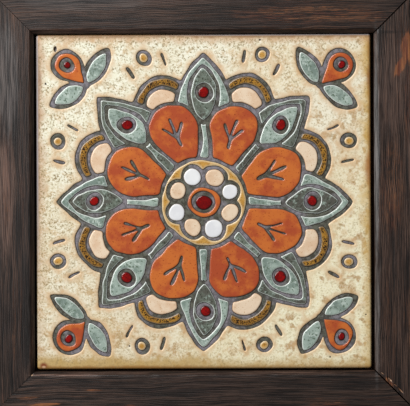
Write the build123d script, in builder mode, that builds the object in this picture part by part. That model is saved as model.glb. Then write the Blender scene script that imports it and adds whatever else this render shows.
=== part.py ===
from build123d import *
import math
import os

# A glazed earthenware tile bedded on a thin board inside a mitred wooden tray frame.
# It lies on its back: X runs to the right and Y up the picture side, Z comes out of the glazed face,
# and the origin is the middle of the frame's back. All lengths are millimetres.

# The tile's body
tile_side = 200.0
tile_thickness = 9.0
tile_corner_radius = 1.6
tile_arris_radius = 1.4

# Keying grooves pressed into the tile's back
groove_count = 9
groove_pitch = 20.0
groove_width = 9.0
groove_depth = 0.8
groove_end_margin = 8.0

# The tile's clearance in the frame: the mean of left and right, the mean of above and below,
# and how far it sits from the middle
side_clearance = 1.65
end_clearance = 0.8
tile_shift_x = -0.25
tile_shift_y = 0.45

# Wooden rails
rail_width = 21.8
rail_depth = 16.0
bevel_width = 2.4
bevel_drop = 2.2
outer_arris_radius = 0.7

# Board in the rebate at the back
board_thickness = 3.2
board_recess = 0.8
board_clearance = 0.3
rebate_width = 5.0

# How far each mitre has opened at the face; at the back its rails still touch
gap_top_left = 0.25
gap_top_right = 0.7
gap_bottom_right = 0.8
gap_bottom_left = 0.0

# Dry line between the glazes: its width, and how far the glazes stand above it
line_width = 2.2
line_depth = 0.5

# Rosette, from the middle outwards. A radius is measured from the tile's middle to the line's middle.
fold = 8
eye_radius = 5.6
ring_radius = 10.2
bead_ring_radius = 16.5
bead_radius = 6.3
collar_radius = 26.5
petal_tip = 12.0
petal_centre = 47.0
petal_radius = 15.5
leaf_near = 14.0
leaf_far = 88.0
leaf_width = 34.0
heart_near = 47.0
heart_far = 81.0
heart_width = 17.0
scale_centre = 62.5
scale_radius = 11.5
outer_scale_centre = 64.0
outer_scale_radius = 16.5

# Bud and two leaves in each corner, set in from the tile's corner along the diagonal
bud_tip_inset = 43.4
bud_inset = 26.4
bud_radius = 9.0
sprig_inset = 42.4
sprig_length = 25.0
sprig_width = 11.0
sprig_angle = 76.0

opening_width = tile_side + 2 * side_clearance
opening_height = tile_side + 2 * end_clearance
frame_width = opening_width + 2 * rail_width
frame_height = opening_height + 2 * rail_width
rebate_depth = board_recess + board_thickness
tile_bottom = rebate_depth
tile_top = tile_bottom + tile_thickness
half_line = line_width / 2
half_step = 180.0 / fold
half_diagonal = tile_side / math.sqrt(2)
tile_middle = (tile_shift_x, tile_shift_y)


def disc(centre, radius, grow):
    """A round cell whose middle lies on X, with its outline grown by half a line."""
    with BuildSketch() as shape:
        with Locations((centre, 0)):
            Circle(radius + grow)
    return shape.sketch


def leaf(near, far, width, grow):
    """A pointed leaf along X: two arcs that keep their centres when the outline grows."""
    length = far - near
    side_radius = (length**2 + width**2) / (4 * width)
    centre_offset = side_radius - width / 2
    half_length = math.sqrt((side_radius + grow) ** 2 - centre_offset**2)
    middle = (near + far) / 2
    tips = (middle - half_length, 0), (middle + half_length, 0)
    with BuildSketch() as shape:
        with BuildLine():
            ThreePointArc(tips[0], (middle, width / 2 + grow), tips[1])
            ThreePointArc(tips[1], (middle, -width / 2 - grow), tips[0])
        make_face()
    return shape.sketch


def drop(tip, centre, radius, grow):
    """A drop along X: a round end with two straight sides that run to a point."""
    sine = radius / (centre - tip)
    grown = radius + grow
    touch = (centre - grown * sine, grown * math.sqrt(1 - sine**2))
    with BuildSketch() as shape:
        with BuildLine():
            Polyline((touch[0], -touch[1]), (centre - grown / sine, 0), touch)
            ThreePointArc(touch, (centre + grown, 0), (touch[0], -touch[1]))
        make_face()
    return shape.sketch


def sprig_leaf(side, grow):
    """One of the two leaves at the foot of a corner bud, for a corner that lies along X."""
    foot = half_diagonal - sprig_inset
    upright = leaf(0, sprig_length, sprig_width, grow)
    return upright.rotate(Axis.Z, side * sprig_angle).moved(Location((foot, 0)))


def ring_of(outline, sizes, count, start_angle):
    """Like cells round the middle: the outline with its line, the clear cell inside, and their places."""
    return outline(*sizes, half_line), outline(*sizes, -half_line), count, start_angle


bud_sizes = (half_diagonal - bud_tip_inset, half_diagonal - bud_inset, bud_radius)
rings = [
    ring_of(disc, (outer_scale_centre, outer_scale_radius), fold, half_step),
    ring_of(disc, (scale_centre, scale_radius), fold, half_step),
    ring_of(leaf, (leaf_near, leaf_far, leaf_width), fold, 0),
    ring_of(leaf, (heart_near, heart_far, heart_width), fold, 0),
    ring_of(drop, (petal_tip, petal_centre, petal_radius), fold, half_step),
    ring_of(disc, (0, collar_radius), 1, 0),
    ring_of(disc, (bead_ring_radius, bead_radius), fold, half_step),
    ring_of(disc, (0, ring_radius), 1, 0),
    ring_of(disc, (0, eye_radius), 1, 0),
    ring_of(sprig_leaf, (-1,), 4, 45),
    ring_of(sprig_leaf, (1,), 4, 45),
    ring_of(drop, bud_sizes, 4, 45),
]

# The dark line-work, laid as paper shapes are: each ring covers what lies under it.
with BuildSketch() as line_work:
    for line_outline, cell_outline, count, start_angle in rings:
        with PolarLocations(0, count, start_angle):
            add(line_outline)
            add(cell_outline, mode=Mode.SUBTRACT)

# The pressed tile: keyed back, rounded front arris, and the glazes standing proud of the dry lines.
with BuildPart() as tile:
    with BuildSketch(Plane.XY.offset(tile_bottom)):
        with Locations(tile_middle):
            RectangleRounded(tile_side, tile_side, tile_corner_radius)
    extrude(amount=tile_thickness)
    fillet(tile.faces().sort_by(Axis.Z)[-1].edges(), tile_arris_radius)
    with BuildSketch(Plane.XY.offset(tile_bottom)):
        with Locations(tile_middle):
            with GridLocations(0, groove_pitch, 1, groove_count):
                Rectangle(tile_side - 2 * groove_end_margin, groove_width)
    extrude(amount=groove_depth, mode=Mode.SUBTRACT)
    with BuildSketch(Plane.XY.offset(tile_top)):
        with Locations(tile_middle):
            add(line_work.sketch)
    extrude(amount=-line_depth, mode=Mode.SUBTRACT)

# The board that carries the tile lies against the shoulder of the rebate.
with BuildPart() as backing_board:
    with BuildSketch(Plane.XY.offset(board_recess)):
        board_lap = 2 * (rebate_width - board_clearance)
        Rectangle(opening_width + board_lap, opening_height + board_lap)
    extrude(amount=board_thickness)


def rail(turn, length, across, near_gap, far_gap):
    """One rail: its section runs along one side of the frame, and both ends are mitred.

    length and across are the frame's sizes along the rail and square to it, and each gap is the
    opening of one mitre at the face, of which this rail gives half.
    """
    along = Vector(1, 0, 0).rotate(Axis.Z, turn)
    inward = Vector(0, 1, 0).rotate(Axis.Z, turn)
    outer = -across / 2
    inner = outer + rail_width
    with BuildPart() as part:
        with BuildSketch(Plane(origin=(0, 0, 0), x_dir=inward, z_dir=along)) as section:
            with BuildLine():
                Polyline(
                    (outer, 0),
                    (inner - rebate_width, 0),
                    (inner - rebate_width, rebate_depth),
                    (inner, rebate_depth),
                    (inner, rail_depth - bevel_drop),
                    (inner - bevel_width, rail_depth),
                    (outer, rail_depth),
                    close=True,
                )
            make_face()
            front_arris = section.vertices().group_by(Axis.X)[0].sort_by(Axis.Y)[-1]
            fillet(front_arris, outer_arris_radius)
        extrude(amount=length / 2, both=True)
        for side, gap in ((-1, near_gap), (1, far_gap)):
            corner = along * (side * length / 2) + inward * outer
            mitre_normal = (inward + along * side).normalized()
            lean = Vector(0, 0, gap / 2 / rail_depth)
            split(bisect_by=Plane(origin=corner, z_dir=mitre_normal + lean), keep=Keep.BOTTOM)
    return part.part


rails = {
    "rail_bottom": rail(0, frame_width, frame_height, gap_bottom_left, gap_bottom_right),
    "rail_right": rail(90, frame_height, frame_width, gap_bottom_right, gap_top_right),
    "rail_top": rail(180, frame_width, frame_height, gap_top_right, gap_top_left),
    "rail_left": rail(270, frame_height, frame_width, gap_top_left, gap_bottom_left),
}

os.makedirs("parts", exist_ok=True)
tile.part.label = "tile"
export_step(tile.part, "parts/tile.step")
backing_board.part.label = "backing_board"
export_step(backing_board.part, "parts/backing_board.step")
for name, part in rails.items():
    part.label = name
    export_step(part, f"parts/{name}.step")
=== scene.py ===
import cmath
import math

import bmesh
import bpy
import numpy as np
from mathutils import Matrix, Vector, geometry, kdtree, noise


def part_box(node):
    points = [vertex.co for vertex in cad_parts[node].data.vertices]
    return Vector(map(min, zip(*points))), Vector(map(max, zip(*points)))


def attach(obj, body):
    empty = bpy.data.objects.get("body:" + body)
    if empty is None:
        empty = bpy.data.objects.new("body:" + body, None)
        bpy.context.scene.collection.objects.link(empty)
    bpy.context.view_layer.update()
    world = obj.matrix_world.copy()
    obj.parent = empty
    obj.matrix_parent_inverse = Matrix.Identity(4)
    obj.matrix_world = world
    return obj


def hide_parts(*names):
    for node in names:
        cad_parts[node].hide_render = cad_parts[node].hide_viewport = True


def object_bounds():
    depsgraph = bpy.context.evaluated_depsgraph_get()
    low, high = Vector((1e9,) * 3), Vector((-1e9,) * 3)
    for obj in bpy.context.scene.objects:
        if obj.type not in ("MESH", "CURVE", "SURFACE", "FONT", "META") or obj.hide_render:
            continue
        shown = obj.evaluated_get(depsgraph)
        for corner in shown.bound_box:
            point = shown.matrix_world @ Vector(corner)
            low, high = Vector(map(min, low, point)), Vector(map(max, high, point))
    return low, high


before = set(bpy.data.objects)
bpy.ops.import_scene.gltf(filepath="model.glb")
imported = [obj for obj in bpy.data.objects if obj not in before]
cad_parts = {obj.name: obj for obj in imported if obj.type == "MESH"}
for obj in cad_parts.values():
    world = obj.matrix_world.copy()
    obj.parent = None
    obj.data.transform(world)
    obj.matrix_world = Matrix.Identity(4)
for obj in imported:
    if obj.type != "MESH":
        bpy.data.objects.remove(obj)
cad_low, cad_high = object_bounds()

# The tile's drawing
# The decorator draws on the raw tile with a dry dark line of wax and manganese, then floods each closed cell
# with glaze. The rosette is laid as paper shapes are: every ring covers what lies under it. Sizes are in
# millimetres.
mm = 0.001
tile_low, tile_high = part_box("tile")
tile_side = (tile_high.x - tile_low.x) / mm
tile_middle = complex(tile_low.x + tile_high.x, tile_low.y + tile_high.y) / 2 / mm
half_diagonal = tile_side / math.sqrt(2)
fold = 8
half_step = 180.0 / fold
half_line = 1.1
drawing_pitch = 0.8
quarter = math.pi / 2
drawn_cells = []


def arc(middle, radius, start, stop):
    """Points along a circular arc, without its last one."""
    count = max(4, round(abs(stop - start) * radius / drawing_pitch))
    return middle + radius * np.exp(1j * np.linspace(start, stop, count, endpoint=False))


def straight(start, stop):
    """Points along a straight run, without its last one."""
    count = max(2, round(abs(stop - start) / drawing_pitch))
    return start + (stop - start) * np.linspace(0, 1, count, endpoint=False)


def disc(centre, radius, grow):
    """A round cell on the X axis, with its outline grown by half a line."""
    return arc(centre, radius + grow, 0, math.tau)


def leaf(near, far, width, grow):
    """A pointed leaf along X: two arcs that keep their centres when the outline grows."""
    side_radius = ((far - near) ** 2 + width**2) / (4 * width)
    centre_offset = side_radius - width / 2
    half_angle = math.acos(centre_offset / (side_radius + grow))
    middle = (near + far) / 2
    return np.concatenate((
        arc(middle - 1j * centre_offset, side_radius + grow, quarter - half_angle, quarter + half_angle),
        arc(middle + 1j * centre_offset, side_radius + grow, -quarter - half_angle, -quarter + half_angle),
    ))


def drop(tip, centre, radius, grow):
    """A drop along X: a round end with two straight sides that run to a point."""
    lean = math.asin(radius / (centre - tip))
    touch = quarter + lean
    point = centre - (radius + grow) / math.sin(lean)
    round_end = arc(centre, radius + grow, -touch, touch)
    upper = centre + (radius + grow) * cmath.exp(1j * touch)
    return np.concatenate((round_end, straight(upper, point), straight(point, upper.conjugate())))


def stroke(start, stop, grow):
    """A free stroke with round ends, as wide as twice its growth."""
    heading = cmath.phase(stop - start)
    side = 1j * cmath.exp(1j * heading) * grow
    return np.concatenate((
        arc(stop, grow, heading - quarter, heading + quarter),
        straight(stop + side, start + side),
        arc(start, grow, heading + quarter, heading + 3 * quarter),
        straight(start - side, stop - side),
    ))


def polar(radius, angle):
    """The point at that distance from the middle and that angle from X."""
    return radius * cmath.exp(1j * math.radians(angle))


def lay(glazes, outline, sizes, count=1, first_angle=0.0, line=half_line):
    """Lays a ring of like cells over the drawing. Each takes the next of its glazes; a stroke has none."""
    for number in range(count):
        turn = polar(1, first_angle + 360.0 / count * number)
        clear = turn * outline(*sizes, -line) if glazes else None
        drawn_cells.append((turn * outline(*sizes, line), clear, glazes and glazes[number % len(glazes)]))


sprig_inset, sprig_length, sprig_width, sprig_angle = 42.4, 25.0, 11.0, 76.0


def sprig_leaf(side, grow):
    """One of the two leaves at the foot of a corner bud, for a corner that lies along X."""
    upright = leaf(0, sprig_length, sprig_width, grow)
    return half_diagonal - sprig_inset + upright * polar(1, side * sprig_angle)


# Each cell's sizes, in the order in which its outline takes them
outer_scale, inner_scale = (64.0, 16.5), (62.5, 11.5)
outer_leaf, heart_leaf, leaf_eye = (14.0, 88.0, 34.0), (47.0, 81.0, 17.0), (65.0, 4.4)
petal = (12.0, 47.0, 15.5)
collar, bead, eye_ring, eye = (0, 26.5), (16.5, 6.3), (0, 10.2), (0, 5.6)
bud_tip_inset, bud_inset, bud_radius = 43.4, 26.4, 9.0
bud_eye_inset, bud_eye_radius = 25.4, 3.6
vein_start, vein_stop, vein_half = 36.0, 53.0, 0.75
branch_start, branch_stop, branch_angle = 41.0, 49.0, 7.0
dot_inset, dot_radius = 13.2, 3.8
dash_start, dash_stop, dash_angle, dash_half = 8.0, 1.0, 7.0, 0.9

lay(["speckled"], disc, outer_scale, fold, half_step)
lay(["cream"], disc, inner_scale, fold, half_step)
lay(["pale celadon", "celadon"], leaf, outer_leaf, fold)
lay(["celadon", "pale celadon"], leaf, heart_leaf, fold)
lay(["red"], disc, leaf_eye, fold)
lay(["orange"], drop, petal, fold, half_step)
lay(None, stroke, (vein_start, vein_stop), fold, half_step, vein_half)
for side in (-1, 1):
    branch = (branch_start, polar(branch_stop, side * branch_angle))
    lay(None, stroke, branch, fold, half_step, vein_half)
lay(["ochre"], disc, collar)
lay(["white", "cream"], disc, bead, fold, half_step)
lay(["orange"], disc, eye_ring)
lay(["red"], disc, eye)
for side in (-1, 1):
    lay(["pale celadon"], sprig_leaf, (side,), 4, 45)
lay(["orange"], drop, (half_diagonal - bud_tip_inset, half_diagonal - bud_inset, bud_radius), 4, 45)
lay(["red"], disc, (half_diagonal - bud_eye_inset, bud_eye_radius), 4, 45)
dot_centre = (tile_side / 2 - dot_inset) / math.cos(math.radians(half_step))
lay(["ochre"], disc, (dot_centre, dot_radius), fold, half_step)
for side in (-1, 1):
    ray = polar(1, side * dash_angle)
    dash = (ray * (dot_centre - dash_start), ray * (dot_centre - dash_stop))
    lay(None, stroke, dash, fold, half_step, dash_half)


# The tile's glazed face
# After firing, each glaze stands half a millimetre proud of the dry line, with a rounded lip where it drew
# back. The face is meshed twice: once to find which glaze owns which place, and once along the softened lips.
arris_radius, corner_radius = 1.4, 1.6
line_depth, lip_width = 0.5, 0.9
lip_rings, line_ring = (0.1, 0.24, 0.48, 0.9, 1.6), 0.55
tile_top = tile_high.z / mm
tile_bottom = tile_low.z / mm
side_points, corner_points = 72, 5
softening_rounds = 3


def rounded_square(half, radius):
    """The tile's outline at one level, always with the same number of points."""
    quarters = []
    for turn in range(4):
        corner = complex(half - radius, half - radius)
        low, high = complex(half, radius - half), complex(half, half - radius)
        side = np.linspace(low, high, side_points, endpoint=False)
        bend = corner + radius * np.exp(1j * np.linspace(0, quarter, corner_points, endpoint=False))
        quarters.append(1j**turn * np.concatenate((side, bend)))
    return np.concatenate(quarters)


def triangulated(loops, loose=()):
    """Fills loops of points with triangles: the points, the triangles, and the loops that hold each."""
    points = np.concatenate([*loops, np.asarray(loose, complex)])
    ends = np.cumsum([len(loop) for loop in loops])
    faces = [list(range(end - len(loop), end)) for end, loop in zip(ends, loops)]
    flat = [Vector((z.real, z.imag)) for z in points]
    inside_only, tolerance = 1, 1e-4
    filled = geometry.delaunay_2d_cdt(flat, [], faces, inside_only, tolerance, True)
    places, _, triangles, sources, _, owners = filled
    return np.array([complex(*p) for p in places]), triangles, sources, owners


def evened(loop):
    """The loop with evenly spaced points and soft corners, as glaze draws back from a sharp one."""
    closed = np.append(loop, loop[0])
    run = np.append(0, np.cumsum(abs(np.diff(closed))))
    count = max(12, round(run[-1] / drawing_pitch))
    even = np.interp(np.linspace(0, run[-1], count, endpoint=False), run, closed)
    for _ in range(softening_rounds):
        even = (np.roll(even, 1) + 2 * even + np.roll(even, -1)) / 4
    return even


def enclosed_area(loop):
    """The area inside a loop, negative where it runs clockwise."""
    return (np.conj(loop) * np.roll(loop, -1)).sum().imag / 2


face_border = rounded_square(tile_side / 2 - arris_radius, corner_radius - arris_radius)
drawn_loops = [face_border]
shapes = []
for whole, clear, glaze in drawn_cells:
    drawn_loops.append(whole)
    shapes.append((len(drawn_loops) - 1, None if clear is None else len(drawn_loops), glaze))
    if clear is not None:
        drawn_loops.append(clear)
drawn_places, drawn_triangles, _, drawn_owners = triangulated(drawn_loops)
side_owner = {}
for triangle, held_by in zip(drawn_triangles, drawn_owners):
    region = "ground"
    for whole, clear, glaze in reversed(shapes):
        if whole in held_by:
            region = glaze if clear in held_by else "line"
            break
    for start, stop in zip(triangle, triangle[1:] + triangle[:1]):
        side_owner[start, stop] = region

# The edges between glaze and line are strung into loops, which swell a little here and there.
swell_length, swell_reach, swell_level = 7.0, 0.55, 11.0
smallest_cell = 2.0
after = {start: stop for (start, stop), region in side_owner.items()
         if region != "line" and side_owner.get((stop, start)) == "line"}
lips = []
while after:
    start, stop = after.popitem()
    region = side_owner[start, stop]
    chain = [start]
    while stop != chain[0] and stop in after:
        chain.append(stop)
        stop = after.pop(stop)
    lip = evened(drawn_places[chain])
    outward = np.roll(lip, 1) - np.roll(lip, -1)
    swell = np.array([noise.noise(Vector((p.real, p.imag, swell_level)) / swell_length) for p in lip])
    lip = lip + 1j * outward / abs(outward) * swell * swell_reach
    if abs(enclosed_area(lip)) > smallest_cell:
        lips.append((lip, region))

# Pits in the ground glaze, where gas broke through it in the kiln:
# the place from the tile's middle, half the width and half the height
pits = [(-88.4, 91.2, 1.0, 2.0), (-94.4, 70.3, 0.5, 0.8), (34.2, 96.4, 0.8, 0.6), (-57.9, -79.2, 0.5, 0.5),
        (-44.2, -86.4, 0.5, 0.6), (75.4, -93.0, 0.55, 0.55), (96.8, -67.9, 0.45, 0.5)]
pit_depth = 0.45
lip_points = np.concatenate([lip for lip, _ in lips])
lip_neighbours = np.concatenate([np.stack((np.roll(lip, 1), np.roll(lip, -1)), axis=1) for lip, _ in lips])
lip_tree = kdtree.KDTree(len(lip_points))
for number, place in enumerate(lip_points):
    lip_tree.insert((place.real, place.imag, 0), number)
lip_tree.balance()


def off_run(place, start, stop):
    """How far a place lies from a short straight run."""
    along = stop - start
    share = ((place - start) * along.conjugate()).real / abs(along) ** 2
    return abs(place - start - along * min(1.0, max(0.0, share)))


def lip_distance(place):
    """How far a place on the face lies from the nearest edge between glaze and dry line."""
    number = lip_tree.find((place.real, place.imag, 0))[1]
    return min(off_run(place, lip_points[number], beside) for beside in lip_neighbours[number])


# Points inside the cells: rows along each lip, a loose grid between them, and small rings in the pits
inner_points = []
least_share = 0.85
for lip, _ in lips:
    tangent = np.roll(lip, -1) - np.roll(lip, 1)
    into_glaze = 1j * tangent / abs(tangent)
    for offset in (*lip_rings, -line_ring):
        inner_points += [p for p in lip + into_glaze * offset if lip_distance(p) > abs(offset) * least_share]
grid_pitch, row_share, grid_clearance, border_clearance = 2.2, 0.87, 0.6, 0.3
half_face = tile_side / 2 - arris_radius
for row, v in enumerate(np.arange(-half_face + grid_pitch / 2, half_face, grid_pitch * row_share)):
    grid_start = -half_face + grid_pitch * (0.5 + row % 2 / 2)
    for u in np.arange(grid_start, half_face - border_clearance, grid_pitch):
        if lip_distance(complex(u, v)) > lip_rings[-1] + grid_clearance:
            inner_points.append(complex(u, v))
around = np.exp(1j * np.linspace(0, math.tau, 9)[:-1])
for u, v, wide, high in pits:
    for ring_share in (0.0, 0.5, 0.85, 1.2):
        inner_points += list(complex(u, v) + ring_share * (around.real * wide + 1j * around.imag * high))

loops = [face_border]
inside = ["ground"]
for lip, region in lips:
    clockwise = enclosed_area(lip) < 0
    loops.append(lip[::-1] if clockwise else lip)
    inside.append("line" if clockwise else region)
areas = [abs(enclosed_area(loop)) for loop in loops]
places, triangles, sources, owners = triangulated(loops, inner_points)
homes = [min(held_by, key=areas.__getitem__) for held_by in owners]

# Each cell has its own tone. Its glaze rises in a rounded lip and sags a little towards the middle.
tone_seed = 4
lip_crown, sag, sag_reach, line_crown = 1.04, 0.06, 6, 0.06
tone_of_home = np.random.default_rng(tone_seed).uniform(-1, 1, len(loops))
in_glaze = np.zeros(len(places), bool)
tone = np.zeros(len(places))
for triangle, home in zip(triangles, homes):
    if inside[home] != "line":
        in_glaze[list(triangle)] = True
        tone[list(triangle)] = tone_of_home[home]
distance = np.array([lip_distance(p) for p in places])
up_the_lip = np.clip(distance / lip_width, 0, 1)
crown = lip_crown - sag * np.clip(distance / sag_reach, 0, 1)
lip_height = np.sqrt(1 - (1 - up_the_lip) ** 2) * line_depth * crown
height = np.where(in_glaze, lip_height, line_crown * np.clip(distance / line_ring, 0, 1))
pit_share = np.zeros(len(places))
for u, v, wide, high in pits:
    away = abs((places.real - u) / wide + 1j * (places.imag - v) / high)
    pit_share = np.maximum(pit_share, 1 - away**2)
height -= pit_depth * pit_share

# The hand that drew the lines wandered a little, and the wet tile was never quite flat. Both end at the rim.
rim_width = 7.0
wanders = ((24.0, 2.0), (5.0, 0.3))
warp_length, warp_height = 30.0, 0.14
noise_level, across = 3.0, Vector((0, 0, 7.5))
from_rim = np.minimum(half_face - abs(places.real), half_face - abs(places.imag))
hold = np.clip(from_rim / rim_width, 0, 1)
for number, place in enumerate(places):
    spot = Vector((place.real, place.imag, noise_level))
    for wander_length, wander_reach in wanders:
        aside = complex(noise.noise(spot / wander_length), noise.noise(spot / wander_length + across))
        places[number] += aside * wander_reach * hold[number]
    height[number] += noise.noise(spot / warp_length) * warp_height * hold[number]

vertices = [(p.real, p.imag, tile_top - line_depth + h) for p, h in zip(places, height)]
edge_distance = list(np.where(in_glaze, distance, -distance))
tones = list(tone)
pitted = list(pit_share)
faces = [tuple(triangle) for triangle in triangles]
face_glaze = [inside[home] for home in homes]
far_from_lips = 5.0


def add_level(points, z):
    """Adds the points of a level below the face, and gives their numbers."""
    numbers = list(range(len(vertices), len(vertices) + len(points)))
    vertices.extend((p.real, p.imag, z) for p in points)
    edge_distance.extend([far_from_lips] * len(points))
    tones.extend([0.0] * len(points))
    pitted.extend([0.0] * len(points))
    return numbers


# The rim rolls over into the sides, and the ground glaze runs a little way down them.
# Each level: how far in from the side, how far down, and what covers the band above it
border_of_source = {source: number for number, held in enumerate(sources) for source in held}
ring = [border_of_source[number] for number in range(len(face_border))]
levels = [(arris_radius * (1 - math.sin(a)), arris_radius * (1 - math.cos(a)), "ground")
          for a in np.radians((22.5, 45, 67.5, 90))]
levels += [(0.0, 3.4, "ground"), (0.12, 3.7, "bisque"), (0.0, tile_top - tile_bottom, "bisque")]
for inset, fall, glaze in levels:
    level_outline = rounded_square(tile_side / 2 - inset, corner_radius - inset)
    lower = add_level(level_outline, tile_top - fall)
    for number in range(len(ring)):
        beyond = (number + 1) % len(ring)
        faces.append((ring[number], lower[number], lower[beyond], ring[beyond]))
        face_glaze.append(glaze)
    ring = lower

# The back is bare earthenware, pressed with keying grooves for the adhesive.
grooves_each_way, groove_pitch, groove_depth = 4, 20.0, 0.8
groove_half_length, groove_half_width = tile_side / 2 - 8.0, 4.5
grooves = []
for row in range(-grooves_each_way, grooves_each_way + 1):
    grooves.append(np.array([complex(x * groove_half_length, row * groove_pitch + y * groove_half_width)
                             for x, y in ((-1, -1), (1, -1), (1, 1), (-1, 1))]))
back_places, back_triangles, back_sources, back_owners = triangulated([level_outline, *grooves])
on_ring = {number: ring[source] for number, held in enumerate(back_sources)
           for source in held if source < len(ring)}
back_numbers = add_level(back_places, tile_bottom)
groove_faces = []
for triangle, held_by in zip(back_triangles, back_owners):
    if len(held_by) > 1:
        groove_faces.append(len(faces))
    faces.append(tuple(on_ring.get(corner, back_numbers[corner]) for corner in reversed(triangle)))
    face_glaze.append("bisque")


def into_scene(name, data):
    """Puts a mesh, a lamp or a camera into the scene as an object."""
    made = bpy.data.objects.new(name, data)
    bpy.context.scene.collection.objects.link(made)
    return made


glaze_names = ["ground", "line", "orange", "celadon", "pale celadon", "cream", "white", "speckled", "ochre",
               "red", "bisque"]
tile_mesh = bpy.data.meshes.new("earthenware_tile")
tile_mesh.from_pydata(vertices, [], faces)
for attribute, values in (("edge_distance", edge_distance), ("tone", tones), ("pitted", pitted)):
    tile_mesh.attributes.new(attribute, "FLOAT", "POINT").data.foreach_set("value", values)
tile_mesh.polygons.foreach_set("material_index", [glaze_names.index(glaze) for glaze in face_glaze])
shaping = bmesh.new()
shaping.from_mesh(tile_mesh)
shaping.faces.ensure_lookup_table()
floors = [shaping.faces[number] for number in groove_faces]
raised = bmesh.ops.extrude_face_region(shaping, geom=floors)["geom"]
bmesh.ops.translate(shaping, verts=[v for v in raised if isinstance(v, bmesh.types.BMVert)],
                    vec=(0, 0, groove_depth))
bmesh.ops.delete(shaping, geom=floors, context="FACES_ONLY")
bmesh.ops.delete(shaping, geom=[v for v in shaping.verts if not v.link_faces], context="VERTS")
bmesh.ops.translate(shaping, verts=shaping.verts, vec=(tile_middle.real, tile_middle.imag, 0))
bmesh.ops.scale(shaping, verts=shaping.verts, vec=(mm, mm, mm))
for face in shaping.faces:
    face.smooth = True
shaping.to_mesh(tile_mesh)
shaping.free()
earthenware_tile = into_scene("earthenware_tile", tile_mesh)


# The tile's glazes
# The ground is a satin cream that thins to tan; the colours are glossier and pool in their cells, pale or
# dark at the lip; the line fires to a dry, faintly metallic black-brown.
class Varying:
    """A number, colour or vector that changes over a surface, so that sums of it add nodes."""

    def __init__(self, finish, socket):
        self.finish, self.socket = finish, socket

    def math(self, operation, *others):
        values = dict(enumerate((self, *others)))
        return self.finish.node("ShaderNodeMath", {"operation": operation}, values)

    def __add__(self, other):
        return self.math("ADD", other)

    def __sub__(self, other):
        return self.math("SUBTRACT", other)

    def __rsub__(self, other):
        return self.math("MULTIPLY", -1.0) + other

    def __mul__(self, other):
        return self.math("MULTIPLY", other)

    __radd__, __rmul__ = __add__, __mul__

    def over(self, low, high):
        """0 below low and 1 above high, with a soft step between; low may be the larger."""
        return self.finish.node("ShaderNodeMapRange", {"interpolation_type": "SMOOTHSTEP"},
                                {0: self, 1: low, 2: high})


class Finish:
    """One material. node() adds any node: its type, its settings, then its socket values or links."""

    def __init__(self, name, roughness, coat=0.0, specular=0.5):
        self.material = bpy.data.materials.new(name)
        self.material.use_nodes = True
        self.tree = self.material.node_tree
        self.shader = self.tree.nodes["Principled BSDF"]
        self.shader.inputs["Roughness"].default_value = roughness
        self.shader.inputs["Coat Weight"].default_value = coat
        self.shader.inputs["Specular IOR Level"].default_value = specular

    def node(self, kind, settings, values, output=0):
        made = self.tree.nodes.new(kind)
        for name, value in settings.items():
            setattr(made, name, value)
        for name, value in values.items():
            if isinstance(value, Varying):
                self.tree.links.new(value.socket, made.inputs[name])
            else:
                made.inputs[name].default_value = value
        return Varying(self, made.outputs[output])

    def place(self):
        return self.node("ShaderNodeTexCoord", {}, {}, "Object")

    def split(self, vector):
        """The first two numbers of a vector that changes over the surface."""
        first = self.node("ShaderNodeSeparateXYZ", {}, {0: vector})
        return first, Varying(self, first.socket.node.outputs[1])

    def attribute(self, name):
        return self.node("ShaderNodeAttribute", {"attribute_name": name}, {}, "Fac")

    def cloud(self, where, size, detail=2.0, roughness=0.5, warp=0.0):
        """Noise whose lumps are about that many millimetres across."""
        values = {"Vector": where, "Scale": 1.0 / (size * mm), "Detail": detail, "Roughness": roughness,
                  "Distortion": warp}
        return self.node("ShaderNodeTexNoise", {}, values)

    def mix(self, factor, under, over):
        """The colour under, covered by the colour over as the factor goes to 1."""
        return self.node("ShaderNodeMix", {"data_type": "RGBA"}, {0: factor, 6: under, 7: over}, 2)

    def oval(self, where, x, y, z, angle, half_length, half_width, half_depth):
        """1 in the middle of an oval place and 0 outside it, in millimetres and degrees."""
        inside = self.node("ShaderNodeMapping", {"vector_type": "TEXTURE"},
                           {"Vector": where, "Location": (x * mm, y * mm, z * mm),
                            "Rotation": (0, 0, math.radians(angle)),
                            "Scale": (half_length * mm, half_width * mm, half_depth * mm)})
        return self.node("ShaderNodeVectorMath", {"operation": "LENGTH"}, {0: inside}, 1).over(1.0, 0.2)

    def set(self, name, value):
        self.tree.links.new(value.socket, self.shader.inputs[name])

    def bump(self, height, strength, reach):
        values = {"Height": height, "Strength": strength, "Distance": reach * mm}
        self.set("Normal", self.node("ShaderNodeBump", {}, values))


def colour(red, green, blue):
    """A colour as it is seen, in steps of 255, made linear for the shader."""
    seen = (c / 255 for c in (red, green, blue))
    return tuple(((c + 0.055) / 1.055) ** 2.4 if c > 10 / 255 else c / 12.92 for c in seen) + (1,)


tile_centre = (tile_middle.real * mm, tile_middle.imag * mm, 0)


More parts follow.
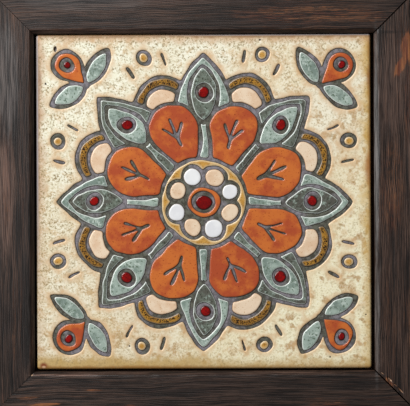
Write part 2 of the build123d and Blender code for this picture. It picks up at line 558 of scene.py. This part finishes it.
def ground_glaze():
    finish = Finish("ground_glaze", 0.34)
    where = finish.place()
    edge = finish.attribute("edge_distance")
    centred = finish.node("ShaderNodeVectorMath", {"operation": "SUBTRACT"}, {0: where, 1: tile_centre})
    u, v = finish.split(centred)
    uneven = finish.cloud(where, 6.0, 4.0, 0.65)
    drifts = finish.cloud(where, 26.0, 2.0)
    cream = finish.mix(drifts.over(0.4, 0.6), colour(250, 241, 214), colour(242, 226, 190))
    # Painted light: the cream is painted whiter towards the upper left and lighter towards the lower right.
    cream = finish.mix((v - u).over(-0.02, 0.16) * 0.6, cream, colour(248, 250, 228))
    cream = finish.mix((u - v).over(0.03, 0.13) * 0.8, cream, colour(255, 247, 210))
    speckled = (v - u).over(-0.06, 0.10)
    blotch = finish.cloud(where, 7.0, 3.0, 0.6)
    glaze = finish.mix(blotch.over(0.50, 0.62) * 0.55, cream, colour(220, 188, 142))
    spots = finish.cloud(where, 5.2, 1.5, 0.5, 0.3)
    glaze = finish.mix(spots.over(0.56, 0.68) * (1 - speckled * 0.6) * 0.78, glaze, colour(192, 154, 102))
    glaze = finish.mix((u + v).over(-0.02, -0.12) * 0.22, glaze, colour(198, 168, 112))
    grain = finish.cloud(where, 1.15, 3.0, 0.75)
    clear = (edge + uneven * 4.0).over(3.0, 6.0) * 0.6 + 0.4
    glaze = finish.mix(grain.over(0.47, 0.39) * clear * (speckled * 0.3 + 0.35), glaze, colour(255, 252, 238))
    halo = (edge + uneven * 7.0).over(7.5, 3.0)
    glaze = finish.mix(halo * 0.65, glaze, colour(218, 174, 126))
    # The bands along the sides: the distance from the side, the reach, the strengths of band and edge, and
    # the colours of both. Their tan is the glaze thinning over the rim and, in part, painted shade where the
    # rails shade the tile's edge.
    half, per_mm = tile_side / 2, 1 / mm
    upper = v.over(-0.08, 0.04)
    leftward = u.over(0.04, -0.04)
    wavering = uneven * 7.0 + finish.cloud(where, 16.0, 2.0) * 8.0 - 3.0
    for from_side, reach, strength, edge_strength, tan, edge_tan_and_shade in (
            (u * per_mm + half, 4.2, upper * 0.5 + 0.35, upper * 0.6 + 0.2,
             colour(200, 162, 126), colour(134, 104, 82)),
            (u * -per_mm + half, 4.9, upper * 0.25 + 0.6, upper * 0.7 + 0.1,
             colour(211, 172, 94), colour(172, 124, 60)),
            (v * -per_mm + half, 4.6, 0.8, 0.8,
             colour(208, 166, 122), colour(140, 102, 66)),
            (v * per_mm + half, leftward * 2.0 + 5.4, leftward * 0.18 + 0.72, leftward * 0.3 + 0.5,
             colour(194, 160, 96), colour(158, 108, 50))):
        band = (from_side + wavering).over(reach + 7.5, reach + 1.0)
        glaze = finish.mix(band * strength, glaze, tan)
        glaze = finish.mix((from_side + uneven * 3.0).over(4.2, 2.4) * edge_strength, glaze, edge_tan_and_shade)
    specks = grain.over(0.51, 0.60) * uneven.over(0.32, 0.55) * clear * (speckled * 0.4 + 0.5)
    glaze = finish.mix(specks, glaze, colour(148, 126, 86))
    # Scorched streaks at the right and left edges, and a rust-brown blister with a pale middle: the place,
    # half the width and height, the strength and the colour
    for x, y, half_width, half_height, strength, stain in (
            (98.4, 20.0, 3.4, 15.0, 0.7, colour(170, 106, 54)),
            (98.8, 74.0, 2.4, 9.0, 0.6, colour(150, 96, 54)),
            (-98.0, 73.0, 1.6, 8.0, 0.6, colour(146, 106, 78)),
            (-96.4, -97.3, 3.5, 2.6, 1.0, colour(130, 66, 34)),
            (-96.3, -98.2, 1.7, 1.2, 1.0, colour(214, 172, 132))):
        scorched = finish.oval(where, x, y, tile_top, 0, half_width, half_height, 4.0)
        glaze = finish.mix(scorched * strength, glaze, stain)
    # Painted highlight: at the upper left the arris is painted pale grey where it catches the lamp, along the
    # side and along the top.
    left_arris_highlight = u.over(-0.0986, -0.0993) * v.over(-0.06, 0.02)
    arris_highlight = left_arris_highlight.math("MAXIMUM", v.over(0.0988, 0.0994) * u.over(-0.04, 0.02))
    glaze = finish.mix(arris_highlight * 0.8, glaze, colour(160, 154, 156))
    pitted = finish.attribute("pitted").over(0.05, 0.45)
    finish.set("Base Color", finish.mix(pitted, glaze, colour(44, 30, 22)))
    finish.set("Roughness", uneven * 0.3 + 0.18)
    finish.bump(finish.cloud(where, 1.4, 3.0, 0.6), 0.4, 0.12)
    return finish.material


def dry_line():
    finish = Finish("dry_line", 0.5, specular=0.4)
    where = finish.place()
    patchy = finish.cloud(where, 2.4, 4.0, 0.65)
    broad = finish.cloud(where, 18.0, 3.0, 0.6)
    # The line's borders beside the glaze are darker: its own black-brown and, in part, painted shade in the
    # groove; its middle is olive or ash grey.
    middle = (finish.attribute("edge_distance") + patchy * 0.3).over(0.0, -0.36)
    dark = finish.mix(finish.cloud(where, 1.2, 3.0), colour(30, 24, 21), colour(60, 48, 40))
    olive = finish.mix(patchy.over(0.42, 0.60), colour(66, 63, 52), colour(98, 98, 86))
    ash = finish.mix(patchy.over(0.38, 0.62), colour(96, 92, 94), colour(136, 130, 136))
    finish.set("Base Color", finish.mix(middle, dark, finish.mix(broad.over(0.44, 0.58), olive, ash)))
    finish.bump(finish.cloud(where, 0.7, 3.0, 0.7), 0.6, 0.2)
    return finish.material


def pooled_glaze(name, body, deep, lip, lip_reach, mottle, speck=None, speck_size=0.8, speck_share=0.0,
                 bloom=None, roughness=0.24):
    """A coloured glaze: its body clouds into the deep colour, holds specks, and thins at the lip."""
    finish = Finish(name.replace(" ", "_") + "_glaze", roughness, 0.12)
    where = finish.place()
    edge = finish.attribute("edge_distance")
    clouded = finish.cloud(where, mottle, 4.0, 0.62) + finish.attribute("tone") * 0.11
    cover = finish.mix(clouded.over(0.38, 0.64), colour(*body), colour(*deep))
    if bloom:
        cover = finish.mix(finish.cloud(where, 2.4, 3.0, 0.65).over(0.52, 0.66) * 0.8, cover, colour(*bloom))
    if speck:
        dotted = finish.cloud(where, speck_size, 2.0, 0.6).over(0.62 - speck_share, 0.67 - speck_share)
        cover = finish.mix(dotted * edge.over(0.2, 1.2), cover, colour(*speck))
    thin = (edge + finish.cloud(where, 2.0, 3.0) * lip_reach * 0.6).over(lip_reach * 1.3, 0.3)
    finish.set("Base Color", finish.mix(thin, cover, colour(*lip)))
    finish.bump(finish.cloud(where, 3.0, 2.0), 0.25, 0.2)
    return finish.material


def bare_earthenware():
    finish = Finish("bisque", 0.85)
    where = finish.place()
    finish.set("Base Color", finish.mix(finish.cloud(where, 6.0, 5.0, 0.65), colour(205, 168, 132),
                                        colour(178, 128, 92)))
    finish.bump(finish.cloud(where, 0.8, 4.0, 0.7), 0.4, 0.2)
    return finish.material


glaze_finishes = {
    "ground": ground_glaze(),
    "line": dry_line(),
    "orange": pooled_glaze("orange", (208, 114, 52), (178, 80, 46), (156, 92, 66), 0.5, mottle=11.0,
                           speck=(140, 56, 26), speck_size=1.0, speck_share=-0.01),
    "celadon": pooled_glaze("celadon", (112, 120, 108), (90, 88, 80), (216, 224, 216), 0.6, mottle=7.0,
                            speck=(62, 68, 56), speck_size=1.3, speck_share=0.05, bloom=(158, 174, 162)),
    "pale celadon": pooled_glaze("pale celadon", (166, 182, 170), (126, 142, 132), (226, 232, 224), 0.6,
                                 mottle=7.0, speck=(106, 122, 106), speck_size=1.4, speck_share=0.05,
                                 bloom=(196, 208, 198)),
    "cream": pooled_glaze("cream", (241, 217, 188), (230, 197, 164), (204, 168, 134), 0.6, mottle=7.0,
                          speck=(206, 170, 128)),
    "white": pooled_glaze("white", (244, 244, 244), (234, 234, 236), (206, 198, 190), 0.4, mottle=8.0),
    "speckled": pooled_glaze("speckled", (176, 128, 50), (146, 104, 44), (124, 114, 98), 0.9, mottle=4.0,
                             speck=(46, 30, 18), speck_size=0.85, speck_share=0.12),
    "ochre": pooled_glaze("ochre", (208, 158, 78), (188, 138, 62), (226, 202, 160), 1.6, mottle=4.0,
                          speck=(146, 104, 52), speck_share=0.04),
    "red": pooled_glaze("red", (152, 16, 12), (116, 10, 10), (66, 14, 14), 0.9, mottle=2.4,
                        speck=(84, 8, 10), speck_share=0.03, roughness=0.12),
    "bisque": bare_earthenware(),
}
for name in glaze_names:
    tile_mesh.materials.append(glaze_finishes[name])
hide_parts("tile")
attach(earthenware_tile, "root")


# The wooden rails
# Four lengths of straight-grained softwood, planed with a bevel inside and a rebate behind, mitred, glued and
# stained almost black. Their arrises are rubbed, and two of the mitres have opened.
rail_low, rail_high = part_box("rail_bottom")
rail_width = (rail_high.y - rail_low.y) / mm
rail_depth = (rail_high.z - rail_low.z) / mm
bevel_width, bevel_drop = 2.4, 2.2
rebate_width, rebate_depth = 5.0, 4.0
mitre_gaps = {"bottom_left": 0.15, "bottom_right": 0.8, "top_right": 0.7, "top_left": 0.25}

# Splinters torn out beside the opened mitre: place, angle, half length, half width, depth
torn_places = [(110.3, -106.2, -45, 2.4, 0.6, 0.9), (116.6, -112.6, -47, 3.0, 0.55, 0.8),
               (113.6, -109.6, -40, 1.6, 0.4, 0.5), (106.0, -102.6, -38, 1.4, 0.4, 0.5),
               (-103.2, -102.8, 40, 1.2, 0.5, 0.5)]


def rounded_section(corners):
    """A section with rounded corners: each corner is across, up, radius and the steps to the next one."""
    section = []
    for number, (across, up, radius, steps) in enumerate(corners):
        before, beyond = corners[number - 1], corners[(number + 1) % len(corners)]
        here = complex(across, up)
        back = complex(before[0], before[1]) - here
        ahead = complex(beyond[0], beyond[1]) - here
        back, ahead = back / abs(back), ahead / abs(ahead)
        bend = (0, 0.25, 0.5, 0.75, 1) if radius else (0,)
        for share in bend:
            start, stop = here + back * radius, here + ahead * radius
            section.append((1 - share) ** 2 * start + 2 * share * (1 - share) * here + share**2 * stop)
        last = section[-1]
        target = complex(beyond[0], beyond[1]) - ahead * beyond[2]
        section += [last + (target - last) * step / steps for step in range(1, steps)]
    return section


rail_section = rounded_section([
    (rebate_width, 0, 0, 1), (rebate_width, rebate_depth, 0, 2), (0, rebate_depth, 0, 6),
    (0, rail_depth - bevel_drop, 0.3, 4), (bevel_width, rail_depth, 0.4, 46),
    (rail_width, rail_depth, 0.7, 12), (rail_width, 0, 0, 10),
])


# A rail's sections stand close together near the mitres, where splinters are torn out, and wider between. The
# grain of each rail is taken from elsewhere in the wood.
near_mitre = np.concatenate((np.arange(0, 6, 0.35), np.arange(6, 15, 1.0)))
sections_between = 80
arris_wear, arris_wear_width = 0.4, 1.2
hollow_depth = 0.05
grain_shift = 7


def make_rail(name, turn, length, across, near_gap, far_gap):
    """One rail. length and across are half the frame's sizes along the rail and square to it."""
    along, inward = polar(1, turn), polar(1, turn + 90)
    close = near_mitre / (2 * length)
    between = np.linspace(close[-1], 1 - close[-1], sections_between)[1:-1]
    shares = np.concatenate((close, between, 1 - close[::-1]))
    perimeter = np.append(0, np.cumsum(abs(np.diff(rail_section + rail_section[:1]))))
    points, grain = [], []
    for share in shares:
        for number, spot in enumerate(rail_section):
            from_middle = across - rail_width + spot.real
            reach = length - (rail_width - spot.real)
            opened = spot.imag / rail_depth / math.sqrt(2)
            near_end, far_end = -reach + near_gap * opened, reach - far_gap * opened
            run = near_end + share * (far_end - near_end)
            place = along * run - inward * from_middle
            arris = min(abs(spot - complex(edge, rail_depth)) for edge in (bevel_width, rail_width))
            worn = noise.noise(Vector((run / 9.0, spot.real / 3.0, turn + spot.imag / 5.0)))
            fall = max(0.0, worn + 0.1) * arris_wear * max(0.0, 1 - arris / arris_wear_width)
            if spot.imag > rail_depth - bevel_drop:
                hollow = noise.noise(Vector((run / 40.0, spot.real / 2.0, turn + 50)))
                fall += hollow_depth * max(0.0, hollow)
                for x, y, angle, half_length, half_width, depth in torn_places:
                    away = (place - complex(x, y)) * polar(1, -angle)
                    away = abs(away.real / half_length + 1j * away.imag / half_width)
                    fall += depth * max(0.0, 1 - away**2)
            points.append((place.real * mm, place.imag * mm, (spot.imag - fall) * mm))
            grain.append((run, perimeter[number]))
    count = len(rail_section)
    faces = []
    for row in range(len(shares) - 1):
        for number in range(count):
            beside = (number + 1) % count
            faces.append((row * count + number, row * count + beside,
                          (row + 1) * count + beside, (row + 1) * count + number))
    faces.append(tuple(reversed(range(count))))
    faces.append(tuple(range((len(shares) - 1) * count, len(shares) * count)))
    mesh = bpy.data.meshes.new(name)
    mesh.from_pydata(points, [], faces)
    layer = mesh.uv_layers.new(name="grain")
    for face in mesh.polygons:
        closing = len(face.vertices) == 4 and any(v % count == count - 1 for v in face.vertices)
        for loop, vertex in zip(face.loop_indices, face.vertices):
            run, round_it = grain[vertex]
            if closing and vertex % count == 0:
                round_it = perimeter[-1]
            layer.data[loop].uv = ((run + turn * grain_shift) * mm, round_it * mm)
    mesh.polygons.foreach_set("use_smooth", [True] * len(mesh.polygons))
    mesh.set_sharp_from_angle(angle=math.radians(50))
    return into_scene(name, mesh)


# Places on the rails' face: x, y, angle, half length, half width, strength. The stain is rubbed through to
# warm wood, or is lighter, faded and partly painted sheen, or is painted dark as shade, or is painted pale
# grey as sheen and highlight.
rubbed_places = [
    (60.0, 112.0, 0, 64.0, 8.0, 0.65), (96.0, 111.0, 0, 18.0, 6.0, 0.6), (62.0, 112.0, 0, 62.0, 16.0, 0.25),
    (121.4, 92.0, 90, 16.0, 6.0, 1.0), (117.6, 81.0, 62, 13.0, 4.4, 1.0), (121.4, 60.0, 90, 40.0, 2.6, 0.5),
    (112.5, -5.8, 90, 18.0, 7.0, 0.6), (112.0, 8.0, 90, 42.0, 11.0, 0.35), (-118.0, 8.0, 90, 44.0, 4.0, 0.3),
    (-106.0, -116.4, 3, 10.0, 1.3, 0.8), (-96.0, -120.3, 2, 15.0, 1.6, 0.9),
    (-66.0, -112.0, 0, 9.0, 0.9, 0.8), (-46.0, -121.0, 0, 8.0, 0.8, 0.7), (74.0, -121.0, 0, 18.0, 3.0, 0.6),
    (109.8, -107.6, -45, 6.0, 2.4, 0.8),
]
# Lighter stain: faded in part, and in part painted sheen on the left rail nearest the lamp and painted
# highlight along the bottom bevel, which faces it.
faded_and_sheen_places = [
    (-119.0, 4.0, 90, 52.0, 8.0, 0.6), (113.0, 72.0, 90, 46.0, 12.0, 0.3), (0.0, 121.0, 0, 60.0, 4.0, 0.4),
    (122.8, 30.0, 90, 95.0, 1.6, 0.5), (-45.0, 102.2, 0, 75.0, 1.6, 0.45), (30.0, -102.4, 0, 85.0, 1.5, 0.4),
    (-84.0, -102.8, 0, 32.0, 0.8, 1.0),
]
# Painted shade: darker stain over the rails away from the upper left, and along the top and left bevels,
# which face away from the lamp. The narrow one at the bottom-left mitre is the dark opened joint.
painted_shade_and_joint_places = [
    (50.0, 112.0, 0, 100.0, 24.0, 0.6), (10.0, 107.0, 0, 50.0, 6.0, 0.6), (78.0, 101.2, 0, 70.0, 2.0, 0.7),
    (-72.0, 105.0, 0, 50.0, 3.6, 0.45), (-116.0, -78.0, 90, 56.0, 12.0, 0.6),
    (-107.0, -66.0, 90, 58.0, 6.0, 1.0), (-107.0, 30.0, 90, 80.0, 5.0, 0.5),
    (-101.4, 0.0, 90, 140.0, 2.0, 0.8), (20.0, -113.0, 0, 150.0, 24.0, 0.4),
    (-106.2, -105.4, 45, 8.0, 0.7, 1.0),
]
# Painted sheen and highlight: pale grey on the left and top rails nearest the lamp, and along the right
# rail's bevel, which faces it.
painted_sheen_places = [
    (-117.0, 74.0, 90, 50.0, 10.0, 0.5), (-72.0, 119.0, 0, 58.0, 7.0, 0.3),
    (102.6, 30.0, 90, 110.0, 2.6, 1.0), (102.6, -70.0, 90, 60.0, 2.6, 0.6),
]


def stained_wood():
    finish = Finish("stained_softwood", 0.45, specular=0.38)
    run, round_it = finish.split(finish.node("ShaderNodeUVMap", {"uv_map": "grain"}, {}))
    place = finish.place()
    slope, sway = 0.012, 0.004
    drift = round_it + run * slope + finish.cloud(place, 30.0, 1.0) * sway

    def drawn_out(share):
        return finish.node("ShaderNodeCombineXYZ", {}, {0: run * share, 1: drift})

    ragged = finish.cloud(drawn_out(0.16), 1.3, 4.0, 0.7)

    def covered(places):
        cover = None
        for x, y, angle, half_length, half_width, strength in places:
            oval = finish.oval(place, x, y, rail_depth, angle, half_length, half_width, 5.0)
            oval = (oval + ragged * 1.2 - 0.6).over(0.1, 0.8) * strength
            cover = oval if cover is None else cover.math("MAXIMUM", oval)
        return cover

    fibre = finish.cloud(drawn_out(0.025), 0.8, 4.0, 0.65)
    pores = finish.cloud(drawn_out(0.1), 0.6, 2.0, 0.6)
    dash = finish.cloud(drawn_out(0.13), 0.7, 3.0, 0.6)
    broad = drawn_out(0.07)
    band = finish.cloud(broad, 4.0, 3.0, 0.6)
    figure = finish.cloud(broad, 16.0, 3.0, 0.5)
    ring_pitch = 1.0
    rings = (drift * (math.tau / ring_pitch / mm) + figure * 45.0).math("SINE") * 0.5 + 0.5
    ridge = rings * (fibre.over(0.35, 0.6) * 0.6 + 0.4)
    strands, pale_strands = fibre.over(0.38, 0.62), fibre.over(0.4, 0.6)
    stain = finish.mix(strands, colour(16, 10, 8), colour(66, 48, 39))
    stain = finish.mix(ridge * band.over(0.38, 0.6) * 0.65, stain, colour(94, 71, 59))
    stain = finish.mix(band.over(0.5, 0.36) * 0.6, stain, colour(20, 15, 13))
    stain = finish.mix(pores.over(0.54, 0.66) * 0.6, stain, colour(8, 6, 5))
    # Lighter stain, partly faded and partly painted sheen and highlight
    faded_and_sheen = finish.mix(strands, colour(62, 44, 37), colour(124, 98, 86))
    stain = finish.mix(covered(faded_and_sheen_places), stain, faded_and_sheen)
    # Painted sheen and highlight in pale grey
    painted_sheen = finish.mix(strands, colour(48, 46, 45), colour(112, 108, 106))
    stain = finish.mix(covered(painted_sheen_places), stain, painted_sheen)
    # Painted shade, and the dark opened joint at the bottom-left mitre
    painted_shade_and_joint = finish.mix(pale_strands, colour(10, 7, 5), colour(38, 27, 22))
    stain = finish.mix(covered(painted_shade_and_joint_places), stain, painted_shade_and_joint)
    warm = finish.mix(band.over(0.4, 0.6), colour(106, 56, 36), colour(160, 101, 60))
    thin = finish.cloud(broad, 7.0, 3.0, 0.65).over(0.56, 0.70) * 0.3
    rubbed = covered(rubbed_places).math("MAXIMUM", thin)
    bared = rings.over(0.3, 0.7) * dash.over(0.46, 0.56)
    bared = bared * 0.6 + pale_strands * 0.25 + rubbed.over(0.65, 1.0) * 0.55
    stain = finish.mix(rubbed * bared, stain, warm)
    torn = covered(torn_places).over(0.1, 0.3)
    bare = finish.mix(pale_strands, colour(120, 84, 62), colour(190, 158, 130))
    finish.set("Base Color", finish.mix(torn, stain, bare))
    # Round the section from the back, the bevel lies between 18.7 and 22.2 mm.
    bevel = round_it.over(0.0186, 0.0189) * round_it.over(0.0223, 0.0220)
    finish.set("Roughness", fibre * 0.3 + 0.3 + bevel * -0.12)
    finish.bump(ridge * 0.6 + fibre, 0.5, 0.16)
    return finish.material


stain_finish = stained_wood()
half_w, half_h = cad_high.x / mm, cad_high.y / mm
for name, node, turn, length, across, near_corner, far_corner in (
        ("bottom_rail", "rail_bottom", 0, half_w, half_h, "bottom_left", "bottom_right"),
        ("right_rail", "rail_right", 90, half_h, half_w, "bottom_right", "top_right"),
        ("top_rail", "rail_top", 180, half_w, half_h, "top_right", "top_left"),
        ("left_rail", "rail_left", 270, half_h, half_w, "top_left", "bottom_left")):
    rail = make_rail(name, turn, length, across, mitre_gaps[near_corner], mitre_gaps[far_corner])
    rail.data.materials.append(stain_finish)
    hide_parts(node)
    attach(rail, "root")


# The backing board
# A sheet of brown hardboard lies in the rebate with its meshed back out. The tile is bedded on its smooth
# side, and framer's points hold it.
def hardboard():
    finish = Finish("hardboard", 0.8)
    where = finish.place()
    weave = finish.node("ShaderNodeTexBrick", {"offset": 0.5},
                        {"Vector": where, "Scale": 260.0, "Mortar Size": 0.12}, "Fac")
    fibres = finish.cloud(where, 1.2, 4.0, 0.7)
    brown = finish.mix(fibres.over(0.35, 0.65), colour(126, 86, 56), colour(84, 54, 34))
    brown = finish.mix(weave * 0.35, brown, colour(58, 38, 26))
    damp = finish.cloud(where, 45.0, 5.0, 0.6)
    brown = finish.mix(damp.over(0.44, 0.62) * 0.55, brown, colour(70, 46, 32))
    lengthwise = finish.node("ShaderNodeMapping", {}, {"Vector": where, "Scale": (0.2, 1, 1)})
    scuffed = finish.cloud(lengthwise, 3.0, 4.0, 0.7)
    finish.set("Base Color", finish.mix(scuffed.over(0.60, 0.72) * 0.5, brown, colour(160, 122, 88)))
    finish.bump(weave, 0.4, 0.3)
    return finish.material


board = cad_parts["backing_board"]
board.data.materials.clear()
board.data.materials.append(hardboard())


# The framer's points
# Twelve thin steel tabs hold the board in from behind. A point driver pressed their narrow ends into the
# rebate's wall, each a little askew.
point_length, point_width, point_thickness = 6.0, 5.0, 0.5
points_per_side = 3
bite, board_clearance, lift_off = 1.5, 0.3, 0.02
turned_up = 0.2
board_low, board_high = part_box("backing_board")
point_outline = [(-0.5, -0.12), (-0.25, -0.5), (0.5, -0.5), (0.5, 0.5), (-0.25, 0.5), (-0.5, 0.12)]
corner_count = len(point_outline)
tab_mesh = bpy.data.meshes.new("framers_point")
tab_mesh.from_pydata(
    [(x * point_length * mm, y * point_width * mm, (z * point_thickness / 2 - turned_up * (x == 0.5)) * mm)
     for z in (-1, 1) for x, y in point_outline], [],
    [tuple(reversed(range(corner_count))), tuple(range(corner_count, 2 * corner_count))]
    + [(n, (n + 1) % corner_count, (n + 1) % corner_count + corner_count, n + corner_count)
       for n in range(corner_count)])
tab = bpy.data.objects.new("framers_point", tab_mesh)


def steel():
    finish = Finish("tinned_steel", 0.35)
    where = finish.place()
    finish.shader.inputs["Metallic"].default_value = 1.0
    stained = finish.cloud(where, 1.5, 4.0, 0.7)
    finish.set("Base Color", finish.mix(stained.over(0.5, 0.7), colour(176, 174, 170), colour(112, 92, 76)))
    finish.set("Roughness", stained * 0.5 + 0.1)
    return finish.material


points_tree = bpy.data.node_groups.new("points_round_the_rebate", "GeometryNodeTree")
sockets = points_tree.interface
inputs = {name: sockets.new_socket(name, in_out="INPUT", socket_type="NodeSocket" + kind).identifier
          for name, kind in (("Width", "Float"), ("Height", "Float"), ("Count", "Int"), ("Askew", "Float"),
                             ("Tab", "Object"), ("Steel", "Material"))}
sockets.new_socket("Points", in_out="OUTPUT", socket_type="NodeSocketGeometry")


def wired(kind, values, **settings):
    """Adds one geometry node with its settings and its values or links, and gives its outputs."""
    made = points_tree.nodes.new(kind)
    for name, value in settings.items():
        setattr(made, name, value)
    for name, value in values.items():
        if isinstance(value, bpy.types.NodeSocket):
            points_tree.links.new(value, made.inputs[name])
        else:
            made.inputs[name].default_value = value
    return made.outputs


given = wired("NodeGroupInput", {})
path = wired("GeometryNodeCurvePrimitiveQuadrilateral", {"Width": given["Width"], "Height": given["Height"]})
halfway = wired("ShaderNodeMath", {0: wired("GeometryNodeInputIndex", {})[0], 1: 0.5}, operation="ADD")
way_round = wired("ShaderNodeMath", {0: halfway[0], 1: given["Count"]}, operation="DIVIDE")
fine_path = wired("GeometryNodeResampleCurve", {"Curve": path[0], "Count": 400}, mode="COUNT")
sample = wired("GeometryNodeSampleCurve", {"Curves": fine_path[0], "Factor": way_round[0]}, mode="FACTOR")
inward = wired("ShaderNodeVectorMath", {0: (0, 0, 1), 1: sample["Tangent"]}, operation="CROSS_PRODUCT")
facing = wired("FunctionNodeAlignRotationToVector", {"Vector": inward[0]}, axis="X")
low = wired("ShaderNodeMath", {0: given["Askew"], 1: -1.0}, operation="MULTIPLY")
chance = wired("FunctionNodeRandomValue", {"Min": low[0], "Max": given["Askew"], "Seed": 5},
               data_type="FLOAT")
slant = wired("FunctionNodeAxisAngleToRotation", {"Angle": chance["Value"]})
turned = wired("FunctionNodeRotateRotation", {"Rotation": facing[0], "Rotate By": slant[0]},
               rotation_space="LOCAL")
spots = wired("GeometryNodePoints", {"Count": given["Count"], "Position": sample["Position"]})
shape = wired("GeometryNodeObjectInfo", {"Object": given["Tab"]})
tabs = wired("GeometryNodeInstanceOnPoints",
             {"Points": spots[0], "Instance": shape["Geometry"], "Rotation": turned[0]})
solid = wired("GeometryNodeRealizeInstances", {"Geometry": tabs[0]})
finished = wired("GeometryNodeSetMaterial", {"Geometry": solid[0], "Material": given["Steel"]})
wired("NodeGroupOutput", {"Points": finished[0]})

carrier = into_scene("points_carrier", bpy.data.meshes.new("points_carrier"))
placing = carrier.modifiers.new("points", "NODES")
placing.node_group = points_tree
set_back = 2 * (point_length / 2 - bite - board_clearance) * mm
for name, value in (("Width", board_high.x - board_low.x - set_back),
                    ("Height", board_high.y - board_low.y - set_back),
                    ("Count", 4 * points_per_side), ("Askew", 0.12), ("Tab", tab), ("Steel", steel())):
    placing[inputs[name]] = value
points_mesh = bpy.data.meshes.new_from_object(carrier.evaluated_get(bpy.context.evaluated_depsgraph_get()))
points_mesh.transform(Matrix.Translation((0, 0, board_low.z - (point_thickness / 2 + lift_off) * mm)))
framers_points = into_scene("framers_points", points_mesh)
bpy.data.objects.remove(carrier)
bpy.data.objects.remove(tab)
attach(framers_points, "root")


# Floor, light and camera
# The frame lies on a pale studio floor under one large soft lamp at the upper left. The camera looks straight
# down, turned and placed so that the tile covers the same pixels as in the picture.
floor_reach, floor_gap = 4.0, 0.0002
floor_mesh = bpy.data.meshes.new("floor")
floor_corners = [(x * floor_reach, y * floor_reach, 0) for x, y in ((-1, -1), (1, -1), (1, 1), (-1, 1))]
floor_mesh.from_pydata(floor_corners, [], [(0, 1, 2, 3)])
floor = into_scene("floor", floor_mesh)
floor.location.z = cad_low.z - floor_gap
floor_finish = Finish("floor", 0.9)
floor_finish.shader.inputs["Base Color"].default_value = colour(236, 236, 236)
floor_mesh.materials.append(floor_finish.material)

lamp_data = bpy.data.lights.new("window", "AREA")
lamp_data.shape = "SQUARE"
lamp_data.size = 1.2
lamp_data.energy = 33.0
lamp = into_scene("window", lamp_data)
lamp.location = (-0.82, 0.72, 1.0)
lamp.rotation_euler = (-lamp.location).to_track_quat("-Z", "Y").to_euler()
world = bpy.data.worlds.new("studio")
world.use_nodes = True
background = world.node_tree.nodes["Background"].inputs
background["Color"].default_value = (0.9, 0.95, 1.0, 1)
background["Strength"].default_value = 0.1
bpy.context.scene.world = world
bpy.context.scene.view_settings.view_transform = "Standard"

picture_width = 410
tile_pixels = 334.5
tile_middle_pixel = (203.85, 201.5)
picture_middle = (205, 203)
pixel = tile_side / tile_pixels * mm
distance_up, camera_turn, sensor_width = 1.4, -0.23, 36.0
camera_data = bpy.data.cameras.new("camera")
camera_data.sensor_width = sensor_width
camera_data.lens = sensor_width * distance_up / (picture_width * pixel)
camera = into_scene("camera", camera_data)
camera.location = (tile_centre[0] + (picture_middle[0] - tile_middle_pixel[0]) * pixel,
                   tile_centre[1] - (picture_middle[1] - tile_middle_pixel[1]) * pixel,
                   tile_high.z + distance_up)
camera.rotation_euler = (0, 0, math.radians(camera_turn))
bpy.context.scene.camera = camera
